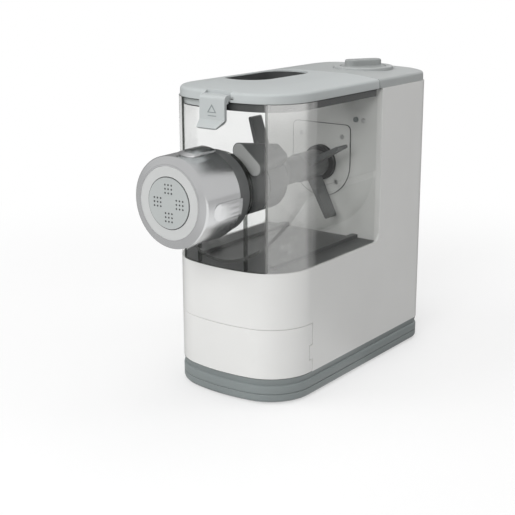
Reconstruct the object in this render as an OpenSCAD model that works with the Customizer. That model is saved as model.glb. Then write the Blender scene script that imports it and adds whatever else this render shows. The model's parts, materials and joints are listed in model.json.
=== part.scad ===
// Electric pasta maker: a motor tower on a drawer base, with a clear mixing
// chamber in front of it and an extrusion nozzle through the chamber's front.
// Origin at the centre of the outline on the table, +Z up, the nozzle towards -Y.

/* [Body] */
// Width of the body across its sides
body_w = 133; // [130:1:137]
// Length of the body from its rear face to the apex of its front
body_l = 252; // [249:1:256]
// Depth of the motor tower
tower_d = 92; // [91:1:95]
// Radius of the two rear corners
rear_corner_r = 19; // [15:1:24]
// Radius of the two front corners
front_corner_r = 43; // [40:1:46]
// Radius of the shallow bulge of the front
front_bulge_r = 165; // [150:5:190]
// Wall thickness of the moulded housing
wall = 2.5; // [2.2:0.1:2.8]

/* [Heights] */
// Height of the rubber feet below the base
foot_h = 1; // [0.8:0.1:1.5]
// Height of the waisted base
base_h = 22.3; // [21.5:0.1:23.5]
// Height of the white lower housing
lower_h = 96.5; // [92:0.5:100]
// Height of the clear chamber from the deck to the lid
chamber_h = 144.7; // [141:0.1:150]
// Rise of the domed top above the chamber's upper edge
crown_h = 12.3; // [11:0.1:13.5]
// Height of the nozzle axis above the deck
axis_h = 69; // [68:0.5:71]

/* [Base] */
// Height of the tapered band below the housing
taper_h = 6; // [5.5:0.1:6.5]
// Inset of the waist below the tapered band
waist_inset = 1.8; // [1.4:0.1:2]
// Height of the groove round the base
groove_h = 0.8; // [0.6:0.1:1.2]
// Depth of the groove round the base
groove_depth = 0.7; // [0.5:0.1:1]
// Radius of a rubber foot
foot_r = 9; // [7:0.5:11]

/* [Drawer] */
// Height of the drawer front
drawer_h = 46; // [42:1:50]
// Length that the drawer front wraps back along the sides
drawer_wrap_l = 49; // [45:1:53]
// Length of the drawer tray behind the front's inner face
tray_l = 134; // [120:1:140]
// Width of the drawer tray
tray_w = 103; // [94:1:105]
// Height of the drawer tray
tray_h = 37; // [30:1:38]
// Seam between the drawer front and the housing
seam = 0.4; // [0.3:0.05:0.6]

/* [Chamber] */
// Wall thickness of the clear mouldings
clear_wall = 2.5; // [2.2:0.1:2.8]
// Inner radius of the mixing trough
trough_r = 61.8; // [61:0.1:62.1]
// Width of the removable front panel
panel_w = 90; // [84:1:94]
// Radius of the chamber's lower rear corners
heel_r = 8; // [6:0.5:9]
// Height of the guide rails on the deck
rail_h = 3.5; // [2.5:0.1:4.5]

/* [Nozzle] */
// Radius of the steel tightening ring at its rear edge
ring_r = 39.2; // [38.8:0.1:40.5]
// Length of the steel tightening ring
ring_l = 45; // [43:0.5:48]
// Gap between the front's apex and the tightening ring
ring_gap = 17.5; // [15:0.5:20]
// Radius of the collar that the ring turns on
collar_r = 35.95; // [35.5:0.05:36.1]
// Inner radius of the extrusion tube
tube_bore_r = 22.3; // [21:0.1:23]
// Outer radius of the extrusion tube inside the chamber
tube_r = 27.5; // [26.5:0.1:28]
// Radius of the disc's front face
disc_r = 31.6; // [30:0.1:32]
// Radius of the die insert
die_r = 21.6; // [21:0.1:22.5]
// Radius of one hole in the die
die_hole_r = 0.8; // [0.6:0.05:1]
// Spacing of the holes in a group
die_hole_pitch = 3.4; // [3:0.1:3.6]
// Distance from the axis to the middle of a hole group
die_group_r = 11.8; // [11:0.1:12.5]

/* [Paddle] */
// Reach of the paddle's arms from the axis
arm_reach = 55; // [50:1:58]
// Width of an arm along the axis
arm_w = 15.5; // [13:0.5:17]
// Thickness of an arm at its root
arm_t = 7; // [5:0.5:8]
// Radius of the paddle's shaft
shaft_r = 12; // [11:0.25:13]
// Radius of the auger's flight
auger_r = 21.9; // [21:0.1:21.9]
// Turns of the auger's flight
auger_turns = 2.5; // [1.5:0.5:3]

/* [Drive] */
// Module of the gear teeth on the output stage
output_module = 1.25; // [1.2:0.05:1.3]
// Module of the gear teeth on the motor stage
motor_module = 1; // [0.95:0.05:1.05]
// Teeth of the output gear and of the idler's large gear
gear_teeth = 60; // [60:12:60]
// Teeth of the idler's small gear
small_teeth = 12; // [12:12:12]
// Teeth of the motor's pinion
pinion_teeth = 10; // [10:10:10]
// Radius of the motor's can
motor_r = 30; // [27:1:32]
// Length of the motor's can
motor_l = 43; // [40:1:46]

/* [Top] */
// Width of the pouring slot in the lid
slot_w = 47.5; // [40:0.5:50]
// Length of the pouring slot in the lid
slot_l = 82; // [76:1:88]
// Distance of the slot's middle to the left of the centre line
slot_offset = 22.2; // [20:0.2:25]
// Width of the latch on the lid
latch_w = 27; // [24:0.5:30]
// Height of the latch's front plate
latch_h = 26.5; // [23:0.5:29]
// Radius of the dial's ring
dial_r = 29; // [27:0.5:30]
// Distance of the dial to the right of the centre line
dial_x = 15; // [12:0.5:18]
// Distance of the dial from the rear face
dial_d = 44; // [41:0.5:47]
// Height of the dial's grip above the crown
grip_h = 7.5; // [6:0.5:9]
// Length of the dial's grip
grip_l = 38; // [32:0.5:40]

/* [Hidden] */
$fn = 96;
eps = 0.01;

// Clearances
running_gap = 0.05;
slide_gap = 0.3;
loose_gap = 0.6;
cap_seam = 0.3;

// Heights above the table
base_top = foot_h + base_h;
deck_z = base_top + lower_h;
lid_z = deck_z + chamber_h;
crown_z = lid_z + crown_h;
axis_z = deck_z + axis_h;
drawer_top = base_top + drawer_h;

// Depths, measured forwards from the rear face
cap_d = tower_d + 3.5;
chamber_rear_d = tower_d + 3;
chamber_inner_d = chamber_rear_d + clear_wall;
drawer_edge_d = body_l - drawer_wrap_l;
ring_rear_d = body_l + ring_gap;
ring_front_d = ring_rear_d + ring_l;
collar_front_d = ring_front_d - 8;
disc_flange_t = 3.8;
disc_front_d = ring_front_d - 0.3;
die_front_d = ring_front_d + 1.9;
rear_y = die_front_d / 2;

// Centres of the outline's front arcs
bulge_d = body_l - front_bulge_r;
corner_x = body_w / 2 - front_corner_r;
corner_d = bulge_d + sqrt(pow(front_bulge_r - front_corner_r, 2) - pow(corner_x, 2));

// Colours
shell_white = [0.93, 0.93, 0.92];
top_grey = [0.72, 0.75, 0.77];
base_grey = [0.50, 0.53, 0.54];
dark_grey = [0.30, 0.31, 0.32];
paddle_grey = [0.38, 0.39, 0.40];
clear_smoke = [0.82, 0.84, 0.85, 0.4];
steel = [0.70, 0.71, 0.72];
rubber = [0.15, 0.15, 0.16];
copper = [0.72, 0.45, 0.26];
gear_white = [0.88, 0.87, 0.82];
board_green = [0.13, 0.35, 0.22];

// Places the part's rear face, so that depths run forwards as -Y
module from_rear() translate([0, rear_y, 0]) children();

// Turns the local +Z axis forwards, on a line parallel to the nozzle axis
module ahead(depth, x = 0, z = axis_z) translate([x, rear_y - depth, z]) rotate([90, 0, 0]) children();

// A round rod or tube along the nozzle's direction, between two depths
module rod(r, d0, d1, bore = 0, x = 0, z = axis_z) ahead(d0, x, z) difference() {
    cylinder(r = r, h = d1 - d0);
    if (bore > 0) translate([0, 0, -1]) cylinder(r = bore, h = d1 - d0 + 2);
}

// The body's outline in plan, drawn inwards by inset
module outline(inset = 0, rear_inset = undef) {
    side_x = body_w / 2 - inset;
    rear_x = body_w / 2 - rear_corner_r;
    rear_edge = is_undef(rear_inset) ? inset : rear_inset;
    translate([-side_x, -corner_d]) square([2 * side_x, corner_d - rear_corner_r]);
    translate([-rear_x, -rear_corner_r - 1]) square([2 * rear_x, rear_corner_r + 1 - rear_edge]);
    for (side = [-1, 1]) {
        translate([side * rear_x, -rear_corner_r]) circle(rear_corner_r - inset);
        translate([side * corner_x, -corner_d]) circle(front_corner_r - inset);
    }
    intersection() {
        translate([0, -bulge_d]) circle(front_bulge_r - inset);
        polygon([[0, -bulge_d], 1.5 * [-corner_x, bulge_d - corner_d] + [0, -bulge_d],
                 1.5 * [corner_x, bulge_d - corner_d] + [0, -bulge_d]]);
    }
}

// A point of the outline's front where its outward normal is turned by an angle from -Y
bulge_turn = asin(corner_x / (front_bulge_r - front_corner_r));
function front_point(turn, inset) = abs(turn) <= bulge_turn
    ? [0, -bulge_d] + (front_bulge_r - inset) * [sin(turn), -cos(turn)]
    : [sign(turn) * corner_x, -corner_d] + (front_corner_r - inset) * [sin(turn), -cos(turn)];

// The front of the outline as a polygon that follows it, back to the tower
module front_outline(inset) polygon(concat(
    [for (turn = [-90 : 7.5 : 90]) front_point(turn, inset)],
    [[body_w / 2 - inset, -tower_d], [-body_w / 2 + inset, -tower_d]]));

// The part of the outline between two depths
module outline_between(d0, d1, inset = 0) intersection() {
    outline(inset);
    translate([-body_w, -d1]) square([2 * body_w, d1 - d0]);
}

// A wall of the outline between two depths
module outline_wall(d0, d1, thickness, inset = 0) difference() {
    outline_between(d0, d1, inset);
    outline(inset + thickness);
}

// An upright prism between two heights
module slab(z0, z1) from_rear() translate([0, 0, z0]) linear_extrude(z1 - z0) children();

// A box between two depths and two heights, centred on x
module block(w, d0, d1, z0, z1, x = 0)
    from_rear() translate([x - w / 2, -d1, z0]) cube([w, d1 - d0, z1 - z0]);

// A flat shape with rounded ends, length l along x
module capsule(l, w) {
    square([l - w, w], center = true);
    for (side = [-1, 1]) translate([side * (l - w) / 2, 0]) circle(w / 2);
}

// A rectangle with four rounded corners
module rounded_rect(w, h, r) {
    square([w - 2 * r, h], center = true);
    square([w, h - 2 * r], center = true);
    for (sx = [-1, 1], sy = [-1, 1]) translate([sx * (w / 2 - r), sy * (h / 2 - r)]) circle(r);
}

// The domed top over the whole outline: each step is a share of the crown's rise and an inset
dome_steps = [[0, 0.9], [0.5, 1.2], [0.59, 2.2], [0.68, 4.4], [0.76, 8.5], [0.85, 17], [0.93, 30], [1, 50]];
module dome(inset = 0) from_rear() hull() for (step = dome_steps)
    translate([0, 0, lid_z + step[0] * crown_h - (step[0] > 0 ? inset : 0)])
        linear_extrude(eps) outline(step[1] + inset, 0.9 + inset + step[1] / 3, $fn = 40);

// ---- Base ----

foot_inset = 19;
module foot_places() for (side = [-1, 1], depth = [26, corner_d + 6])
    from_rear() translate([side * (body_w / 2 - foot_inset), -depth, 0]) children();

foot_recess = 1.5;
module rubber_foot(i) color(rubber) from_rear()
    translate([(i % 2 == 1 ? -1 : 1) * (body_w / 2 - foot_inset), i < 3 ? -26 : -corner_d - 6, 0])
        rotate_extrude() polygon([[0, 0], [foot_r - 1, 0], [foot_r, 1], [foot_r, foot_h + foot_recess],
                                  [0, foot_h + foot_recess]]);

// Each row is a height and an inset of the base's foot or of the shoulder below its waist
foot_rows = [[0, 3.4], [0.8, 1.6], [2, 0.5], [3.6, 0]];
shoulder_rows = [[1.6, 0], [0.5, 0.5], [0, 1.5]];
waist_z = base_top - taper_h;
groove_z = foot_h + 8;
base_wall = waist_inset + wall;
vent_count = 7;
vent_w = 3;
vent_l = 34;
gland_x = -35;
gland_z = foot_h + 10;
gland_r = 5.2;
gland_flange_r = 7.2;
gland_recess = 1.2;
gland_boss_r = gland_flange_r + 1.6;
gland_l = base_wall + 8.2;
cord_bore_r = 3.3;
// A thin plan of the outline at one height
module ply(z, inset) slab(z, z + eps) outline(inset, $fn = 48);

module base_tray() color(base_grey) difference() {
    union() {
        hull() {
            for (row = foot_rows) ply(foot_h + row[0], row[1]);
            for (row = shoulder_rows) ply(waist_z - row[0] - eps, row[1]);
        }
        hull() {
            ply(waist_z - eps, waist_inset);
            ply(base_top - eps, 0.1);
        }
        rod(gland_boss_r, 0, base_wall, x = gland_x, z = gland_z);
    }
    slab(groove_z, groove_z + groove_h) difference() {
        outline(-1);
        outline(groove_depth);
    }
    slab(foot_h + wall, base_top + 1) outline(base_wall);
    rod(gland_r + running_gap, -1, base_wall + 1, x = gland_x, z = gland_z);
    rod(gland_flange_r + running_gap, -1, gland_recess, x = gland_x, z = gland_z);
    foot_places() cylinder(r = foot_r + running_gap, h = foot_h + foot_recess);
    for (i = [0 : vent_count - 1]) block(vent_w, 40, 40 + vent_l, 0, base_top / 2,
                                         (i - (vent_count - 1) / 2) * 3 * vent_w);
}

// ---- Lower housing and tower ----

deck_t = 2;
deck_under_z = deck_z - deck_t - wall;
hole_r = 17;
standoff_h = 4;
board_w = 80;
board_h = 64;
board_z = axis_z - 18;
interlock_x = 38.3;
interlock_z = axis_z + 44.4;
interlock_r = 2.5;

module tower_plan(inset = 0) intersection() {
    outline(inset);
    translate([-body_w, -(tower_d - inset)]) square([2 * body_w, tower_d]);
}

module board_corners() for (sx = [-1, 1], sz = [0, 1])
    ahead(wall - eps, sx * (board_w / 2 - 5), board_z + 5 + sz * (board_h - 10)) children();

// The quarter-round web at the foot of the tower, in the plane of each side wall
module heel(r, x0, x1) for (side = [0, 1]) mirror([side, 0, 0]) from_rear()
    translate([x0, -tower_d, deck_z]) rotate([90, 0, 90]) linear_extrude(x1 - x0) difference() {
        translate([-r, -eps]) square([r + eps, r + eps]);
        translate([-r, r]) circle(r);
    }

rear_vent_count = 6;
rear_vent_z = base_top + 40;
rear_vent_h = 2.4;
rear_vent_pitch = 5.4;

// The notch in the drawer front's rear edge, and the housing's tongue that fills it
notch_l = 4.5;
notch_h = 14;
notch_z = base_top + drawer_h * 0.41 - notch_h / 2;
module lower_shell() color(shell_white) {
    difference() {
        slab(base_top, deck_z) outline();
        slab(base_top - 1, deck_under_z) outline(wall);
        slab(base_top - 1, deck_z + 1) tower_plan(wall);
        slab(deck_z - deck_t, deck_z + 1) outline_between(tower_d, body_l, wall);
        slab(base_top - 1, drawer_top) outline_between(drawer_edge_d - seam, body_l + 1, -1);
        for (i = [0 : rear_vent_count - 1])
            block(body_w / 3, -1, wall + 1, rear_vent_z + i * rear_vent_pitch,
                  rear_vent_z + i * rear_vent_pitch + rear_vent_h, body_w / 8);
    }
    slab(notch_z + seam, notch_z + notch_h - seam)
        outline_wall(drawer_edge_d - seam - eps, drawer_edge_d + notch_l - seam, wall);
}

module tower_shell() color(shell_white) {
    difference() {
        slab(deck_z, lid_z) tower_plan();
        slab(deck_z - 1, lid_z + 1) tower_plan(wall);
        rod(hole_r, tower_d - wall - 1, tower_d + 1);
        rod(interlock_r + running_gap, tower_d - wall - 1, tower_d + 1, x = interlock_x, z = interlock_z);
    }
    board_corners() cylinder(r = 3, h = standoff_h);
    intersection() {
        heel(heel_r, body_w / 2 - clear_wall, body_w / 2 + 1);
        slab(deck_z - 1, deck_z + heel_r + 1) outline();
    }
}

// ---- Drawer ----

bay_wall = 1.5;
bay_floor = base_top + slide_gap;
bay_rear_d = body_l - wall - tray_l - 6;
tray_floor = bay_floor + bay_wall + slide_gap;
tray_wall = 1.6;
module drawer_bay() color(base_grey) difference() {
    block(tray_w + 2 * bay_wall + 2, bay_rear_d, drawer_edge_d - 2, bay_floor, drawer_top + seam);
    block(tray_w + 2, bay_rear_d + bay_wall, body_l, bay_floor + bay_wall, drawer_top + 1);
}

module drawer_front() color(shell_white) difference() {
    slab(base_top + seam, drawer_top - seam) outline_wall(drawer_edge_d, body_l + 1, wall);
    block(2 * body_w, drawer_edge_d - 1, drawer_edge_d + notch_l, notch_z, notch_z + notch_h);
}

module drawer_tray() color(dark_grey) {
    tray_front_inset = wall + 0.2;
    difference() {
        slab(tray_floor, tray_floor + tray_h) intersection() {
            outline(tray_front_inset);
            translate([-tray_w / 2, -body_l]) square([tray_w, tray_l + wall]);
        }
        slab(tray_floor + tray_wall, tray_floor + tray_h + 1) intersection() {
            outline(tray_front_inset + tray_wall);
            translate([-tray_w / 2 + tray_wall, -body_l])
                square([tray_w - 2 * tray_wall, tray_l + wall - tray_wall]);
        }
    }
}

// ---- Deck ----

rail_x = 40;
rail_w = 6;
module rails(gap = 0) for (side = [-1, 1])
    block(rail_w + 2 * gap, tower_d + 1 - gap, drawer_edge_d + 25, deck_z - eps, deck_z + rail_h + gap,
          side * rail_x);

module deck_plate() color(dark_grey) {
    slab(deck_z - deck_t, deck_z) outline_between(tower_d + slide_gap, body_l, wall + slide_gap);
    rails();
}

// ---- Drive ----

// One gear's outline: teeth with straight flanks, thinned for backlash
module gear_outline(m, teeth, turn = 0) {
    pitch_r = m * teeth / 2;
    step = 360 / teeth;
    corners = [[pitch_r - 1.25 * m, -0.33], [pitch_r + 0.9 * m, -0.10],
               [pitch_r + 0.9 * m, 0.10], [pitch_r - 1.25 * m, 0.33]];
    polygon([for (i = [0 : teeth - 1], c = corners)
        c[0] * [cos(turn + (i + c[1]) * step), sin(turn + (i + c[1]) * step)]]);
}

output_pitch_r = output_module * gear_teeth / 2;
small_pitch_r = output_module * small_teeth / 2;
large_pitch_r = motor_module * gear_teeth / 2;
pinion_pitch_r = motor_module * pinion_teeth / 2;
idler_z = axis_z - output_pitch_r - small_pitch_r;
motor_z = idler_z - large_pitch_r - pinion_pitch_r;
case_wall = 2.5;
case_front_d = tower_d - wall;
case_rear_d = case_front_d - 32;
case_inner_d = case_front_d - case_wall;
output_gear_d = case_inner_d - 12;
gear_w = 10;
coupling_d = output_gear_d + gear_w;
large_gear_d = case_rear_d + 4.5;
large_gear_w = 8;
coupling_r = 12.5;
coupling_front_d = tower_d + 2.7;
hex_r = 7;
output_shaft_r = 6;
idler_axle_r = 3;
motor_shaft_r = 2.5;

// Outline of the gear case: one round lobe for each gear
module case_outline(margin) {
    translate([0, axis_z]) circle(output_pitch_r + margin);
    translate([0, idler_z]) circle(large_pitch_r + margin);
    translate([0, motor_z]) circle(pinion_pitch_r + margin);
    translate([-pinion_pitch_r - margin, motor_z]) square([2 * (pinion_pitch_r + margin), axis_z - motor_z]);
}

module case_prism(d0, d1, margin) ahead(d0, 0, 0) linear_extrude(d1 - d0) case_outline(margin);

module gear_case() color(base_grey) difference() {
    case_prism(case_rear_d, case_front_d, 2 + case_wall);
    case_prism(case_rear_d - 1, case_inner_d, 2);
    rod(coupling_r + running_gap, case_rear_d, case_front_d + 1);
    rod(idler_axle_r, case_rear_d, case_front_d + 1, z = idler_z);
}

module gear_case_cover() color(base_grey) difference() {
    case_prism(case_rear_d - case_wall, case_rear_d, 2 + case_wall);
    rod(output_shaft_r + running_gap, case_rear_d - case_wall - 1, case_rear_d + 1);
    rod(idler_axle_r, case_rear_d - case_wall - 1, case_rear_d + 1, z = idler_z);
    rod(motor_shaft_r + loose_gap, case_rear_d - case_wall - 1, case_rear_d + 1, z = motor_z);
}

module output_gear() color(gear_white) difference() {
    ahead(output_gear_d) linear_extrude(gear_w) gear_outline(output_module, gear_teeth);
    rod(output_shaft_r, output_gear_d - 1, coupling_d + 1);
    for (angle = [0 : 60 : 300]) ahead(output_gear_d - 1) rotate(angle)
        translate([output_pitch_r * 0.57, 0, 0]) cylinder(r = output_pitch_r * 0.17, h = gear_w + 2);
}

module output_shaft() color(steel) rod(output_shaft_r, case_rear_d - case_wall - 3, coupling_d);

module drive_coupling() color(rubber) difference() {
    rod(coupling_r, coupling_d, coupling_front_d);
    ahead(coupling_d + 3) cylinder(r = hex_r, h = coupling_front_d, $fn = 6);
}

module idler_gear() color(gear_white) difference() {
    union() {
        ahead(large_gear_d, z = idler_z) linear_extrude(large_gear_w) gear_outline(motor_module, gear_teeth);
        ahead(large_gear_d + large_gear_w, z = idler_z)
            linear_extrude(coupling_d - large_gear_d - large_gear_w)
                gear_outline(output_module, small_teeth, 180 / small_teeth);
    }
    rod(idler_axle_r + running_gap, case_rear_d, case_front_d, z = idler_z);
}

module idler_axle() color(steel) rod(idler_axle_r, case_rear_d - case_wall, case_front_d, z = idler_z);

motor_front_d = case_rear_d - case_wall;
motor_rear_d = motor_front_d - motor_l;
can_wall = 2;
module motor_can() color(steel) difference() {
    rod(motor_r, motor_rear_d, motor_front_d, z = motor_z);
    rod(motor_r - can_wall, motor_rear_d + can_wall, motor_front_d - can_wall, z = motor_z);
    rod(motor_shaft_r + running_gap, motor_rear_d - 1, motor_front_d + 1, z = motor_z);
    for (angle = [45 : 90 : 315]) ahead(motor_rear_d - 1, z = motor_z) rotate(angle)
        translate([motor_r * 0.62, 0, 0]) cylinder(r = motor_r * 0.17, h = can_wall + 2);
}

armature_r = motor_r * 0.62;
armature_rear_d = motor_rear_d + 12;
armature_front_d = motor_front_d - 8;
air_gap = 0.8;
magnet_split = 6;
module motor_magnets() color(dark_grey) difference() {
    rod(motor_r - can_wall, armature_rear_d - 2, armature_front_d + 2,
        bore = armature_r + air_gap, z = motor_z);
    ahead(motor_rear_d, z = motor_z) translate([-magnet_split / 2, -motor_r, 0])
        cube([magnet_split, 2 * motor_r, motor_l]);
}

winding_slot_w = 1.6;
winding_slot_depth = 3;
module motor_rotor() color(copper) difference() {
    union() {
        rod(motor_shaft_r, motor_rear_d - 2, large_gear_d + large_gear_w + 1, z = motor_z);
        rod(armature_r, armature_rear_d, armature_front_d, z = motor_z);
        rod(armature_r * 0.45, motor_rear_d + can_wall + 1, armature_rear_d, z = motor_z);
    }
    for (angle = [0 : 30 : 330]) ahead(armature_rear_d - 1, z = motor_z) rotate(angle)
        translate([armature_r - winding_slot_depth, -winding_slot_w / 2, 0])
            cube([winding_slot_depth + 1, winding_slot_w, motor_l]);
}

module motor_pinion() color(steel) difference() {
    ahead(large_gear_d - 1, z = motor_z) linear_extrude(large_gear_w + 2)
        gear_outline(motor_module, pinion_teeth);
    rod(motor_shaft_r, large_gear_d - 2, large_gear_d + large_gear_w + 2, z = motor_z);
}

module gear_cover_plate() color(shell_white) {
    plate_r = 32.5;
    plate_t = 1.2;
    plate_top = 38;
    corner_r = 5;
    ahead(tower_d) linear_extrude(plate_t) difference() {
        union() {
            circle(plate_r);
            translate([-plate_r, 0]) square([2 * plate_r, plate_top - corner_r]);
            translate([0, plate_top / 2 + 5]) rounded_rect(2 * plate_r, plate_top - 10, corner_r);
        }
        circle(hole_r + 0.2);
    }
}

module drive_seal() color(rubber)
    rod(hole_r - running_gap, case_front_d, tower_d + 1, bore = coupling_r + 2 * running_gap);

switch_w = 12;
switch_h = 11;
switch_l = 12.5;
plunger_l = 10;
module interlock_switch() color(rubber) difference() {
    block(switch_w, case_front_d - switch_l, case_front_d,
          interlock_z - switch_h / 2, interlock_z + switch_h / 2, interlock_x);
    rod(interlock_r + running_gap, case_front_d - plunger_l, case_front_d + 1, x = interlock_x, z = interlock_z);
}

interlock_travel = 2;
module interlock_pin() color(dark_grey)
    rod(interlock_r, case_front_d - plunger_l + interlock_travel + 0.5, tower_d + 1.4,
        x = interlock_x, z = interlock_z);

// The board carries a relay, a flat control chip and three round capacitors
board_d = wall + standoff_h;
board_t = 1.6;
relay = [20, 15, 16];
chip = [30, 3, 26];
capacitor_r = 5;
capacitor_l = 16;
module control_board() color(board_green) {
    face_d = board_d + board_t;
    block(board_w, board_d, face_d, board_z, board_z + board_h);
    block(relay[0], face_d - eps, face_d + relay[1], board_z + 8, board_z + 8 + relay[2], -board_w * 0.3);
    block(chip[0], face_d - eps, face_d + chip[1], board_z + 30, board_z + 30 + chip[2], board_w / 4);
    for (i = [0 : 2]) rod(capacitor_r, face_d - eps, face_d + capacitor_l,
                          x = -28 + i * 2.6 * capacitor_r, z = board_z + 44);
}

module cord_gland() color(rubber) {
    rod(gland_r, gland_recess, gland_l, bore = cord_bore_r, x = gland_x, z = gland_z);
    rod(gland_flange_r, 0, gland_recess, bore = cord_bore_r, x = gland_x, z = gland_z);
    rod(gland_flange_r, base_wall + slide_gap, base_wall + 5, bore = gland_r, x = gland_x, z = gland_z);
}

// ---- Top of the tower ----

dial_boss_r = dial_r + 3;
bezel_floor = crown_z - 7;
bezel_top = crown_z + 1.5;
knob_r = dial_r - 7;
spindle_r = 3;
switch_top = crown_z - 17;
module at_dial(z) from_rear() translate([dial_x, -dial_d, z]) children();

module tower_cap() color(top_grey) difference() {
    union() {
        intersection() {
            difference() {
                dome();
                difference() {
                    dome(wall);
                    slab(lid_z - 1, crown_z) translate([-body_w, -body_l])
                        square([2 * body_w, body_l - cap_d + wall]);
                }
                slab(lid_z - 1, lid_z + wall + eps) outline_between(0, cap_d - wall, wall + 0.9);
            }
            slab(lid_z, crown_z + 1) outline_between(-1, cap_d);
        }
        intersection() {
            at_dial(lid_z + 3) cylinder(r = dial_boss_r, h = crown_h);
            dome(wall / 2);
        }
        at_dial(switch_top + slide_gap) cylinder(r = spindle_r + 5, h = lid_z + 4 - switch_top);
        slab(lid_z - 5, lid_z + 1) difference() {
            outline_between(0, tower_d - wall - 0.2, wall + 0.2);
            outline_between(0, tower_d - 2 * wall - 0.2, 2 * wall);
        }
    }
    at_dial(bezel_floor) cylinder(r = dial_r + 0.1, h = 20);
    at_dial(lid_z - 20) cylinder(r = spindle_r + loose_gap, h = 40);
}

module dial_bezel() color(top_grey) difference() {
    at_dial(bezel_floor) rotate_extrude() {
        top = bezel_top - bezel_floor;
        polygon([[0, 0], [dial_r, 0], [dial_r, top - 0.5], [dial_r - 0.5, top], [0, top]]);
    }
    at_dial(bezel_floor + 3) cylinder(r = knob_r + 0.5, h = 20);
    at_dial(bezel_floor - 1) cylinder(r = spindle_r + loose_gap, h = 20);
}

// The grip is a rounded bar, turned from +X at rest, with a softened upper edge
grip_w = 14;
grip_turn_z = 60;
grip_edge = 1;
knob_floor = bezel_floor + 3 + slide_gap;
knob_t = 5.2;
module grip_section() {
    top = crown_z + grip_h - knob_floor - knob_t + eps;
    polygon([[0, 0], [grip_w / 2, 0], [grip_w / 2, top - grip_edge], [grip_w / 2 - grip_edge, top], [0, top]]);
}

module dial_knob() color(top_grey) {
    at_dial(knob_floor) rotate_extrude()
        polygon([[0, 0], [knob_r, 0], [knob_r, knob_t - 1], [knob_r - 1, knob_t], [0, knob_t]]);
    at_dial(knob_floor + knob_t - eps) rotate(grip_turn_z) {
        for (side = [0, 180]) rotate(side) translate([(grip_l - grip_w) / 2, 0, 0])
            rotate_extrude() grip_section();
        rotate([90, 0, 90]) linear_extrude(grip_l - grip_w, center = true)
            for (side = [0, 1]) mirror([side, 0, 0]) grip_section();
    }
    at_dial(switch_top - 10) cylinder(r = spindle_r, h = knob_floor + 1 - switch_top + 10);
}

rotary_w = 26;
rotary_h = 14;
module rotary_switch() color(rubber) difference() {
    at_dial(switch_top - rotary_h) translate([-rotary_w / 2, -rotary_w / 2, 0])
        cube([rotary_w, rotary_w, rotary_h]);
    at_dial(switch_top - rotary_h + 3) cylinder(r = spindle_r + running_gap, h = rotary_h);
}

// ---- Mixing chamber ----

chamber_z = deck_z + slide_gap;
chamber_top = lid_z - slide_gap;
trough_outer_r = trough_r + clear_wall;
foot_d = 203;
seal_outer_r = hole_r;
// A prism along the nozzle's direction, in the plane of x and height
module across(d0, d1) ahead(d0, 0, 0) linear_extrude(d1 - d0) children();

module trough_profile() difference() {
    translate([0, axis_z]) circle(trough_outer_r);
    translate([0, axis_z]) circle(trough_r);
    translate([-body_w, axis_z]) square([2 * body_w, body_w]);
}

module chamber_cup() color(clear_smoke) difference() {
    union() {
        slab(chamber_z, chamber_top) difference() {
            outline_wall(tower_d + slide_gap, body_l + 1, clear_wall);
            translate([-panel_w / 2 - slide_gap, -body_l - 1]) square([panel_w + 2 * slide_gap, body_l / 2]);
        }
        intersection() {
            across(chamber_rear_d, body_l) trough_profile();
            slab(chamber_z, axis_z + 1) {
                front_outline(clear_wall + slide_gap);
                for (side = [-1, 1]) intersection() {
                    front_outline(1);
                    translate([side * (panel_w / 2 + 12) - 11.5, -body_l]) square([23, body_l]);
                }
            }
        }
        slab(chamber_z, chamber_top) outline_between(chamber_rear_d, chamber_inner_d, 1);
        for (side = [-1, 1]) block(9, foot_d - 8, foot_d + 8, deck_z + rail_h + slide_gap,
                                   axis_z - sqrt(pow(trough_r, 2) - pow(rail_x - 4.5, 2)) - 1, side * rail_x);
    }
    rod(seal_outer_r, chamber_rear_d - 1, chamber_inner_d + 1);
    rails(0.5);
    for (side = [-1, 1]) from_rear() translate([side * rail_x, -foot_d, deck_z + rail_h + 5])
        rotate([0, 90, 0]) cylinder(r = 2, h = 12, center = true, $fn = 48);
    heel(heel_r + slide_gap, body_w / 2 - clear_wall - 1, body_w / 2 + 2);
}

module shaft_seal() color(rubber) rod(seal_outer_r - running_gap, chamber_rear_d, chamber_inner_d,
                                      bore = shaft_r + 2 * running_gap);

tube_hole_r = 31.2;
rib_w = 2;
rib_depth = 5;
rib_x = 26.5;
module front_panel() color(clear_smoke) {
    difference() {
        slab(chamber_z, chamber_top) intersection() {
            outline_wall(body_l / 2, body_l + 1, clear_wall);
            translate([-panel_w / 2, -body_l]) square([panel_w, body_l / 2]);
        }
        rod(tube_hole_r, body_l / 2, body_l + 1);
    }
    difference() {
        intersection() {
            across(body_l - clear_wall - rib_depth, body_l) difference() {
                union() {
                    translate([0, axis_z]) circle(tube_hole_r + rib_w);
                    translate([-rib_x, chamber_z]) square([2 * rib_x, axis_z - chamber_z - 20]);
                }
                translate([-rib_x + rib_w, chamber_z - 1])
                    square([2 * (rib_x - rib_w), axis_z - chamber_z - 20]);
                translate([0, axis_z]) circle(tube_hole_r);
            }
            slab(chamber_z, chamber_top) outline(clear_wall - 0.5);
        }
        across(body_l / 2, body_l) difference() {
            translate([0, axis_z]) circle(trough_outer_r + slide_gap);
            translate([0, axis_z]) circle(trough_r - slide_gap);
        }
    }
}

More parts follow.
